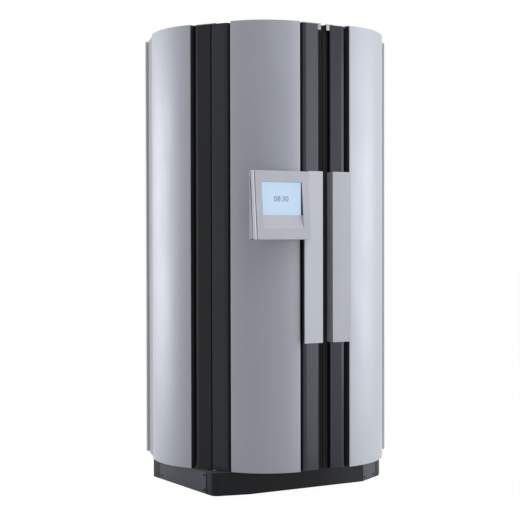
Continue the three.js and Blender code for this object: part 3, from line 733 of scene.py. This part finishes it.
# The right meeting stile takes a darker copy of the stile paint, as painted shade.
meeting_paints = {"left": stile_paint, "right": shaded_right_stile_paint}
for side in SIDES:
    frame_name = f"frame_door_{side}"
    low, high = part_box(frame_name)
    stiles = section(frame_name, (low[2] + high[2]) / 2)
    bm = bmesh.new()
    for loop in stiles:
        at_hinge = abs(sum(point[0] for point in loop)) / len(loop) > DOOR_MIDDLE
        prism(bm, rounded(loop), low[2], high[2], material=int(at_hinge))
    for foot in (low[2] + TIE_INSET, high[2] - TIE_INSET - TIE_SHEET):
        outline, hole = section(frame_name, foot + TIE_SHEET / 2)
        tie_plate(bm, inset(outline, STILE_SHEET / 2), hole, foot, foot + TIE_SHEET)
    paints = [meeting_paints[side], shaded_hinge_stile_paint]
    piece = finished_piece(f"folded_{frame_name}", bm, f"{side}_door", paints, FOLD_END_EDGE)
    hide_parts(frame_name)
print("door frames folded")

# %% [markdown]
# ## Lamp banks
# Behind each acrylic shield stand six tubes in two white holder rails. A tube is white inside its glass,
# and each end has a metal cap. They show when a door is open, so they are turned properly.

# %% Lamp banks
LAMP_COUNT = 6
LAMP_RADIUS = 0.019
LAMP_SIDES = 20
CAP_LENGTH = 0.022
CAP_STEP = 0.0006
HOLDER_HEIGHT = 0.044
HOLDER_ROUND = 0.004
HOLDER_STEPS = 4
lamp_materials = [lamp_coating, rolled_aluminium, white_plastic]
bank_low, bank_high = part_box("lamp_bank_rear")
lamp_pitch = (bank_high[0] - bank_low[0]) / LAMP_COUNT
lamp_y = -(bank_low[1] + LAMP_RADIUS)
tube_low = bank_low[2] + HOLDER_HEIGHT
tube_high = bank_high[2] - HOLDER_HEIGHT


def rounded_rectangle(low_x, low_y, high_x, high_y, radius):
    """A rectangle in plan with round corners."""
    corners = ((high_x, high_y), (low_x, high_y), (low_x, low_y), (high_x, low_y))
    points = []
    for quarter, (x, y) in enumerate(corners):
        centre_x = x - math.copysign(radius, x - (low_x + high_x) / 2)
        centre_y = y - math.copysign(radius, y - (low_y + high_y) / 2)
        points += arc(centre_x, centre_y, radius, quarter * math.pi / 2, math.pi / 2, HOLDER_STEPS)
    return points


glass_radius = LAMP_RADIUS - CAP_STEP
lamp_profile = (
    (0, tube_low),
    (LAMP_RADIUS, tube_low),
    (LAMP_RADIUS, tube_low + CAP_LENGTH),
    (glass_radius, tube_low + CAP_LENGTH + CAP_STEP),
    (glass_radius, tube_high - CAP_LENGTH - CAP_STEP),
    (LAMP_RADIUS, tube_high - CAP_LENGTH),
    (LAMP_RADIUS, tube_high),
    (0, tube_high),
)
rail = rounded_rectangle(bank_low[0], -bank_high[1], bank_high[0], -bank_low[1], HOLDER_ROUND)
cap_metal = lamp_materials.index(rolled_aluminium)
rail_white = lamp_materials.index(white_plastic)
for module in MODULES:
    bm = bmesh.new()
    for i in range(LAMP_COUNT):
        offset = (i - (LAMP_COUNT - 1) / 2) * lamp_pitch
        place = module_place[module] @ Matrix.Translation((offset, lamp_y, 0))
        turned(lamp_profile, bm, place, LAMP_SIDES)
    for face in bm.faces:
        middle = face.calc_center_median().z
        if not tube_low + CAP_LENGTH < middle < tube_high - CAP_LENGTH:
            face.material_index = cap_metal
    prism(bm, rail, bank_low[2], tube_low, module_place[module], rail_white)
    prism(bm, rail, tube_high, bank_high[2], module_place[module], rail_white)
    body = MODULE_BODY.get(module, "cabin")
    bank = finished_piece(f"lamps_{module}", bm, body, lamp_materials)
    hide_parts(f"lamp_bank_{module}")
print("lamp banks:", len(MODULES), "pitch", round(lamp_pitch, 3))

# %% [markdown]
# The reflector trays of the fixed modules reach past the plinth's edge, so each has a sill: a plate at its
# foot that keeps light and dust out. The doors' trays end on the plates of their frames and need none.

# %% Tray sills
SILL_SHEET = 0.0015
SILL_FIT = 0.0002
SILL_PAST_HOLDER = 0.0033
SILL_SIDE_MARGIN = 0.0034
TRAY_SHEET = 0.002
tray_low, tray_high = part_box("reflector_rear")
sill_back = -(tray_high[1] - TRAY_SHEET - SILL_FIT)
sill_front = -(tray_low[1] + SILL_FIT)
sill_back_half = bank_high[0] + SILL_PAST_HOLDER
sill_front_half = tray_high[0] - SILL_SIDE_MARGIN
sill_foot = tray_low[2] + SILL_FIT
sill_outline = [
    (-sill_back_half, sill_back),
    (sill_back_half, sill_back),
    (sill_front_half, sill_front),
    (-sill_front_half, sill_front),
]
for module in FIXED_MODULES:
    bm = bmesh.new()
    prism(bm, sill_outline, sill_foot, sill_foot + SILL_SHEET, module_place[module])
    finished_piece(f"tray_sill_{module}", bm, "cabin", [rolled_aluminium])
print("tray sills:", len(FIXED_MODULES))

# %% [markdown]
# ## Control display
# The display's front is a wedge, deepest at its foot, with the touch screen set upright in a well. The
# well's walls beside and above the screen are black: painted shade for the deep well. Below the screen is
# a small ledge, and from it a chin slopes down and out to the face. The face is built point by point, and a
# bevel rounds its lines.

# %% Display front
BEAD_WIDTH = 0.0150
GROOVE_WIDTH = 0.0014
CHIN_FOOT = 1.2120
SCREEN_PROUD = 0.0012
CHIN_LIP = 0.004
CHIN_LEDGE = 0.010
bezel_low, bezel_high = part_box("display_bezel")
screen_low, screen_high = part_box("display_screen")
face_top_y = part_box("pull_left")[0][1]
face_foot_y = bezel_low[1]


def face_y(height):
    """How far forward the sloping face is at a height."""
    share = (bezel_high[2] - height) / (bezel_high[2] - bezel_low[2])
    return face_top_y + (face_foot_y - face_top_y) * share


def quad_strip(bm, first, second):
    """Faces between two loops of the same length."""
    strip = []
    for i in range(len(first)):
        j = (i + 1) % len(first)
        strip.append(bm.faces.new((first[i], first[j], second[j], second[i])))
    return strip


face_materials = [display_plastic, black_plastic]
bm = bmesh.new()
plate_left = bezel_low[0] + BEAD_WIDTH + GROOVE_WIDTH
plate_right = bezel_high[0]
back_corners = rectangle(plate_left, plate_right, bezel_low[2], bezel_high[2])
back = [bm.verts.new((x, bezel_high[1], z)) for x, z in back_corners]
rim = [bm.verts.new((x, face_y(z), z)) for x, z in back_corners]
well_corners = rectangle(screen_low[0], screen_high[0], CHIN_FOOT, screen_high[2])
well = [bm.verts.new((x, face_y(z), z)) for x, z in well_corners]
seat_corners = rectangle(screen_low[0], screen_high[0], screen_low[2] + CHIN_LIP, screen_high[2])
seat = [bm.verts.new((x, screen_low[1] + SCREEN_PROUD, z)) for x, z in seat_corners]
lip = [bm.verts.new((x, screen_low[1] - CHIN_LEDGE, z)) for x, z in seat_corners[:2]]
bm.faces.new(back)
quad_strip(bm, back, rim)
bm.faces.new(seat)
bm.faces.new((well[0], well[1], lip[1], lip[0]))
bm.faces.new((lip[0], lip[1], seat[1], seat[0]))
brow = [bm.verts.new((x, face_y(z), z)) for x, z in seat_corners[:2]]
# Painted shade: the well's walls beside and above the screen are black.
well_shade_walls = [
    bm.faces.new((brow[1], well[2], seat[2], seat[1], lip[1])),
    bm.faces.new((well[2], well[3], seat[3], seat[2])),
    bm.faces.new((well[3], brow[0], lip[0], seat[0], seat[3])),
]
for wall in well_shade_walls:
    wall.material_index = face_materials.index(black_plastic)
bm.faces.new((rim[0], rim[1], well[1], well[0]))
bm.faces.new((rim[1], rim[2], well[2], brow[1], well[1]))
bm.faces.new((rim[2], rim[3], well[3], well[2]))
bm.faces.new((rim[3], rim[0], well[0], brow[0], well[3]))
bm.faces.new((well[1], brow[1], lip[1]))
bm.faces.new((well[0], brow[0], lip[0]))
front = finished_piece(
    "display_face", bm, "left_door", face_materials, COVER_EDGE, ROUND_SEGMENTS, False
)
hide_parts("display_bezel")
print("display face", round(plate_right - plate_left, 3), "m wide")

# %% [markdown]
# A round bead runs down the left edge, parted from the face by a thin groove. The bead is painted lighter
# than the face, as a painted highlight along its round. Its outer flank is a flat strip in a darker grey
# than the face, with a seam where the round begins. The flank and the bead end in black.

# %% Display bead
BEAD_STEPS = 16
BEAD_SEAM = math.radians(125)
BEAD_SEAM_DEPTH = 1.1
BEAD_CAP = 0.004
bead_materials = [bead_highlight_plastic, housing_plastic, black_plastic]
flank_grey = bead_materials.index(housing_plastic)
end_black = bead_materials.index(black_plastic)
bm = bmesh.new()
bead_radius = BEAD_WIDTH / 2
bead_middle = bezel_low[0] + bead_radius
loops = []
for height in (bezel_low[2], bezel_low[2] + BEAD_CAP, bezel_high[2] - BEAD_CAP, bezel_high[2]):
    nose = face_y(height) + bead_radius
    points = [(bezel_low[0], bezel_high[1]), (bezel_low[0], nose + BEAD_SEAM_DEPTH * bead_radius)]
    points += arc(bead_middle, nose, bead_radius, BEAD_SEAM, 2 * math.pi - BEAD_SEAM, BEAD_STEPS)
    points.append((bezel_low[0] + BEAD_WIDTH, bezel_high[1]))
    loops.append([bm.verts.new((x, y, height)) for x, y in points])
for lower, upper, flank in zip(loops, loops[1:], (end_black, flank_grey, end_black)):
    strip = quad_strip(bm, lower, upper)
    strip[0].material_index = flank
    strip[1].material_index = flank
for end in (loops[0], loops[-1]):
    bm.faces.new(end).material_index = end_black
finished_piece("display_bead", bm, "left_door", bead_materials, FINE_EDGE)
print("bead", round(bead_radius, 4), "m in radius")

# %% [markdown]
# The lit screen shows a plain timer. Its digits are a text curve that lies just in front of the glass.

# %% Screen digits
DIGIT_HEIGHT = 0.034
DIGIT_LIFT = 0.0006
DIGIT_THICKNESS = 0.0001
digits = bpy.data.curves.new("timer_digits", "FONT")
digits.body = "08:30"
digits.size = DIGIT_HEIGHT
digits.align_x = "CENTER"
digits.align_y = "CENTER"
digits.extrude = DIGIT_THICKNESS
digits.materials.append(screen_ink)
timer = new_object("timer_digits", digits)
timer_x = (screen_low[0] + screen_high[0]) / 2
timer_z = (screen_low[2] + screen_high[2]) / 2
timer_place = Matrix.Translation((timer_x, screen_low[1] - DIGIT_LIFT, timer_z))
timer.matrix_world = timer_place @ Matrix.Rotation(math.pi / 2, 4, "X")
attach(timer, "left_door")
print("timer reads", digits.body)

# %% [markdown]
# ## Small hardware
# Screws hold the plinth covers, the roof and the display arm. A button-head screw is turned on a lathe
# profile, and its socket is a dark hexagon set in the top. One function makes them all.

# %% Screws
SCREW_RADIUS = 0.0055
SCREW_HEIGHT = 0.0028
SCREW_SIDES = 18
SOCKET_RADIUS = 0.0022
SOCKET_SIDES = 6
SOCKET_FOOT = SCREW_HEIGHT * 0.9
SOCKET_TOP = SCREW_HEIGHT * 1.02
RIM_HEIGHT = SCREW_HEIGHT * 0.35
SHOULDER_HEIGHT = SCREW_HEIGHT * 0.8
SHOULDER_RADIUS = SCREW_RADIUS * 0.8
SCREW_PROFILE = (
    (0, 0),
    (SCREW_RADIUS, 0),
    (SCREW_RADIUS, RIM_HEIGHT),
    (SHOULDER_RADIUS, SHOULDER_HEIGHT),
    (SOCKET_RADIUS, SCREW_HEIGHT),
    (0, SCREW_HEIGHT),
)
screw_materials = [black_steel, black_plastic]
socket_black = screw_materials.index(black_plastic)


def screws(name, body, places):
    """Button-head screws at (point, outward direction) places, as one piece."""
    bm = bmesh.new()
    for point, outward in places:
        place = facing(point, outward)
        turned(SCREW_PROFILE, bm, place, SCREW_SIDES)
        prism(bm, circle(SOCKET_RADIUS, SOCKET_SIDES), SOCKET_FOOT, SOCKET_TOP, place, socket_black)
    finished_piece(name, bm, body, screw_materials)
    print(name, len(places))


COVER_SCREW_INSET = 0.014


def cover_screw_places(name):
    """The four corners of an upright cover, found from its own vertices, a little way in."""
    points = [vert.co.copy() for vert in nodes[name].data.vertices]
    middle = sum(points, Vector()) / len(points)
    along = max(points, key=lambda p: (p - middle).to_2d().length) - middle
    along.z = 0
    along.normalize()
    normal = Vector((along.y, -along.x, 0))
    if normal.dot(middle) < 0:
        normal.negate()
    half = max((p - middle).dot(along) for p in points) - COVER_SCREW_INSET
    skin = max((p - middle).dot(normal) for p in points)
    rise = max(p.z for p in points) - middle.z - COVER_SCREW_INSET
    places = []
    for end, level in ((-1, -1), (-1, 1), (1, -1), (1, 1)):
        spot = middle + along * half * end + Vector((0, 0, rise * level)) + normal * skin
        places.append((spot, normal))
    return places


for side in SIDES:
    screws(f"cover_screws_{side}", "cabin", cover_screw_places(f"plinth_cover_{side}"))

# %% [markdown]
# The roof has two screws at each corner between fixed modules, and the display arm has two on its front.

# %% Roof and arm screws
ROOF_SCREW_REACH = 0.556
ROOF_SCREW_LEAN = 0.08
ARM_SCREW_INSET_X = 0.034
ARM_SCREW_INSET_Z = 0.03
roof_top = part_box("roof_deck")[1][2]
roof_places = []
for corner_step in range(1, len(FIXED_MODULES)):
    turn = DOOR_TURN + FIXED_STEP * (corner_step + 0.5)
    for lean in (-ROOF_SCREW_LEAN, ROOF_SCREW_LEAN):
        spot = Matrix.Rotation(turn + lean, 4, "Z") @ Vector((0, -ROOF_SCREW_REACH, roof_top))
        roof_places.append((spot, (0, 0, 1)))
screws("roof_screws", "cabin", roof_places)

arm_low, arm_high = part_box("display_arm")
arm_places = []
for height in (arm_low[2] + ARM_SCREW_INSET_Z, arm_high[2] - ARM_SCREW_INSET_Z):
    spot = Vector((arm_low[0] + ARM_SCREW_INSET_X, arm_low[1], height))
    arm_places.append((spot, (0, -1, 0)))
screws("arm_screws", "left_door", arm_places)

# %% [markdown]
# ## Seals, bushings and the mat
# Rubber bulbs close the gap between the doors. Each lower pivot turns in a bushing on the floor deck. The
# mat has raised ribs, so that wet feet don't slip.

# %% Door seals
BULB_RADIUS = 0.0045
BULB_STEPS = 10
BULB_FOOT_GAP = 0.002
BULB_HEAD_GAP = 0.03
for side in SIDES:
    low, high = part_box(f"meeting_seal_{side}")
    centre_x = high[0] - BULB_RADIUS if side == "left" else low[0] + BULB_RADIUS
    half_round = arc(centre_x, low[1], BULB_RADIUS, math.pi, math.pi, BULB_STEPS)
    bm = bmesh.new()
    prism(bm, half_round, low[2] + BULB_FOOT_GAP, high[2] - BULB_HEAD_GAP)
    finished_piece(f"seal_bulb_{side}", bm, f"{side}_door", [black_rubber], FINE_EDGE)
print("seal bulbs ready")

# %% Pivot bushings
BUSHING_RADIUS = 0.011
BUSHING_HEIGHT = 0.0022
BUSHING_RIM_HEIGHT = BUSHING_HEIGHT * 0.7
BUSHING_TOP_RADIUS = BUSHING_RADIUS * 0.9
BUSHING_FIT = 0.0003
BUSHING_SIDES = 28
deck_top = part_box("floor_deck")[1][2]
for side in SIDES:
    low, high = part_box(f"pivot_lower_{side}")
    centre = Matrix.Translation(((low[0] + high[0]) / 2, (low[1] + high[1]) / 2, deck_top))
    bm = bmesh.new()
    inner = (high[0] - low[0]) / 2 + BUSHING_FIT
    profile = (
        (inner, 0),
        (BUSHING_RADIUS, 0),
        (BUSHING_RADIUS, BUSHING_RIM_HEIGHT),
        (BUSHING_TOP_RADIUS, BUSHING_HEIGHT),
        (inner, BUSHING_HEIGHT),
        (inner, 0),
    )
    turned(profile, bm, centre, BUSHING_SIDES)
    bmesh.ops.remove_doubles(bm, verts=bm.verts, dist=WELD_DISTANCE)
    finished_piece(f"pivot_bushing_{side}", bm, "cabin", [bright_steel])
print("bushings ready")

# %% Ribbed mat
RIB_PITCH = 0.012
RIB_HEIGHT = 0.0018
RIB_WIDTH = 0.006
MAT_BORDER = 0.016
POINT_DIGITS = 5
mat_low, mat_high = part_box("floor_mat")
mat_points = [vert.co for vert in nodes["floor_mat"].data.vertices]
mat_rim = {(round(point.x, POINT_DIGITS), round(point.y, POINT_DIGITS)) for point in mat_points}
mat_rim = sorted(mat_rim, key=lambda point: math.atan2(point[1], point[0]))


def mat_span(y):
    """The lowest and highest X of the mat's outline at a Y."""
    crossings = []
    for (ax, ay), (bx, by) in zip(mat_rim, mat_rim[1:] + mat_rim[:1]):
        if (ay - y) * (by - y) < 0:
            crossings.append(ax + (bx - ax) * (y - ay) / (by - ay))
    return min(crossings) + MAT_BORDER, max(crossings) - MAT_BORDER


bm = bmesh.new()
mat_top = mat_high[2] - RIB_HEIGHT
prism(bm, mat_rim, mat_low[2], mat_top)
rib_count = int((mat_high[1] - mat_low[1] - 2 * MAT_BORDER) / RIB_PITCH)
for i in range(rib_count):
    y = mat_low[1] + MAT_BORDER + (i + 0.5) * RIB_PITCH
    from_x, to_x = mat_span(y)
    rib = rectangle(from_x, to_x, y - RIB_WIDTH / 2, y + RIB_WIDTH / 2)
    prism(bm, rib, mat_top, mat_high[2])
mat = finished_piece("ribbed_mat", bm, "cabin", [black_rubber])
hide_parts("floor_mat")
print("mat ribs:", rib_count)

# %% [markdown]
# ## Light and floor
# The photograph is a studio cut-out: white all round, with the light coming from both sides and from
# behind, and less from the front. Satin paint shows that as long soft bands, so the sky's level changes
# round the booth. The floor is white paper, and in a reflection it goes on from the sky: one group gives
# both their level. Broad lamps overhead and at the sides give soft shadows.

# %% World
HALF_TURN = 180
RAMP_MIDDLE = 0.5
SKY_LEVELS = (
    (-180, 1.00), (-140, 0.98), (-110, 0.72), (-85, 0.33), (-55, 0.25), (-20, 0.27),
    (8, 0.33), (30, 0.85), (75, 1.00), (115, 0.95), (180, 1.00),
)
SKY_TOP = 0.70
OVERHEAD_FROM = 0.5
OVERHEAD_TO = 0.9
world = bpy.data.worlds.new("studio")
bpy.context.scene.world = world
world.use_nodes = True
sky = world.node_tree
sky_shader = sky.nodes["Background"]
sky_shader.inputs["Color"].default_value = (1.0, 1.0, 1.0, 1.0)
around, around_in, around_out = new_group(
    "light_around",
    [("Place", "NodeSocketVector", (0.0, 0.0, 0.0))],
    [("Level", "NodeSocketColor"), ("Rise", "NodeSocketFloat")],
)
around_place = around.nodes.new("ShaderNodeSeparateXYZ")
around.links.new(around_in.outputs["Place"], around_place.inputs["Vector"])
around_front = math_node(around, "MULTIPLY", around_place.outputs["Y"], -1.0)
around_turn = math_node(around, "ARCTAN2", around_place.outputs["X"], around_front)
around_part = remap(around, around_turn, -math.pi, math.pi, 0.0, 1.0)
around_ramp = around.nodes.new("ShaderNodeValToRGB")
stops = around_ramp.color_ramp.elements
while len(stops) < len(SKY_LEVELS):
    stops.new(RAMP_MIDDLE)
for stop, (turn, level) in zip(stops, SKY_LEVELS):
    stop.position = (turn + HALF_TURN) / (2 * HALF_TURN)
    stop.color = (level, level, level, 1.0)
around.links.new(around_part, around_ramp.inputs["Fac"])
around.links.new(around_ramp.outputs["Color"], around_out.inputs["Level"])
around.links.new(around_place.outputs["Z"], around_out.inputs["Rise"])


def light_around(tree, coordinates):
    """The light's level round the booth, and how far up, at a place or in a direction."""
    node = tree.nodes.new("ShaderNodeGroup")
    node.node_tree = around
    tree.links.new(tree.nodes.new("ShaderNodeTexCoord").outputs[coordinates], node.inputs["Place"])
    return node.outputs["Level"], node.outputs["Rise"]


def seen_plainly(tree):
    """1 for rays from the camera or through glass, and the sockets of the light path it is read from."""
    path = tree.nodes.new("ShaderNodeLightPath").outputs
    return math_node(tree, "MAXIMUM", path["Is Camera Ray"], path["Is Transmission Ray"]), path


sky_side, sky_rise = light_around(sky, "Generated")
overhead = remap(sky, sky_rise, OVERHEAD_FROM, OVERHEAD_TO, 0.0, 1.0)
sky_level = remap(sky, overhead, 0.0, 1.0, sky_side, SKY_TOP)
sky_plain, _ = seen_plainly(sky)
sky.links.new(remap(sky, sky_plain, 0.0, 1.0, sky_level, 1.0), sky_shader.inputs["Strength"])
print("sky levels:", len(SKY_LEVELS))

# %% Lamps
LAMP_WIDTH = 3.5
LAMP_AIM = Vector((0.0, 0.0, 1.0))
STUDIO_LAMPS = (
    ("overhead_lamp", (0.4, -1.4, 4.6), 3.5, 59),
    ("right_lamp", (3.3, -2.2, 1.3), 2.5, 31),
    ("left_lamp", (-3.0, 2.8, 1.3), 2.5, 38),
)
for name, place, height, power in STUDIO_LAMPS:
    light = bpy.data.lights.new(name, "AREA")
    light.shape = "RECTANGLE"
    light.size = LAMP_WIDTH
    light.size_y = height
    light.energy = power
    lamp = new_object(name, light)
    aim = LAMP_AIM - Vector(place)
    lamp.matrix_world = Matrix.Translation(place) @ aim.to_track_quat("-Z", "Y").to_matrix().to_4x4()
print("lamps:", len(STUDIO_LAMPS))

# %% Paper floor
FLOOR_HALF = 30.0
FLOOR_PAPER = 0.62
PAPER_ROUGHNESS = 0.9
PAPER_GLOW = 0.95
PAPER_WHITE = 1.027
bm = bmesh.new()
floor_corners = rectangle(-FLOOR_HALF, FLOOR_HALF, -FLOOR_HALF, FLOOR_HALF)
bm.faces.new([bm.verts.new((x, y, 0)) for x, y in floor_corners])
floor_mesh = bpy.data.meshes.new("floor")
bm.to_mesh(floor_mesh)
bm.free()
floor = new_object("floor", floor_mesh)
paper = bpy.data.materials.new("floor_paper")
paper.use_nodes = True
paper_tree = paper.node_tree
paper_shader = paper_tree.nodes["Principled BSDF"]
paper_shader.inputs["Base Color"].default_value = (FLOOR_PAPER, FLOOR_PAPER, FLOOR_PAPER, 1.0)
paper_shader.inputs["Roughness"].default_value = PAPER_ROUGHNESS
paper_white = paper_tree.nodes.new("ShaderNodeEmission")
paper_mix = paper_tree.nodes.new("ShaderNodeMixShader")
paper_plain, paper_path = seen_plainly(paper_tree)
paper_any = math_node(paper_tree, "MAXIMUM", paper_plain, paper_path["Is Glossy Ray"])
paper_seen = math_node(paper_tree, "MULTIPLY", paper_any, PAPER_GLOW)
paper_side, _ = light_around(paper_tree, "Object")
paper_level = remap(paper_tree, paper_plain, 0.0, 1.0, paper_side, PAPER_WHITE)
paper_link = paper_tree.links.new
paper_link(paper_level, paper_white.inputs["Strength"])
paper_link(paper_seen, paper_mix.inputs["Fac"])
paper_link(paper_shader.outputs["BSDF"], paper_mix.inputs[1])
paper_link(paper_white.outputs["Emission"], paper_mix.inputs[2])
paper_link(paper_mix.outputs["Shader"], paper_tree.nodes["Material Output"].inputs["Surface"])
floor_mesh.materials.append(paper)
print("floor ready")

# %% [markdown]
# ## The end

# %% Finish


print("scene built")
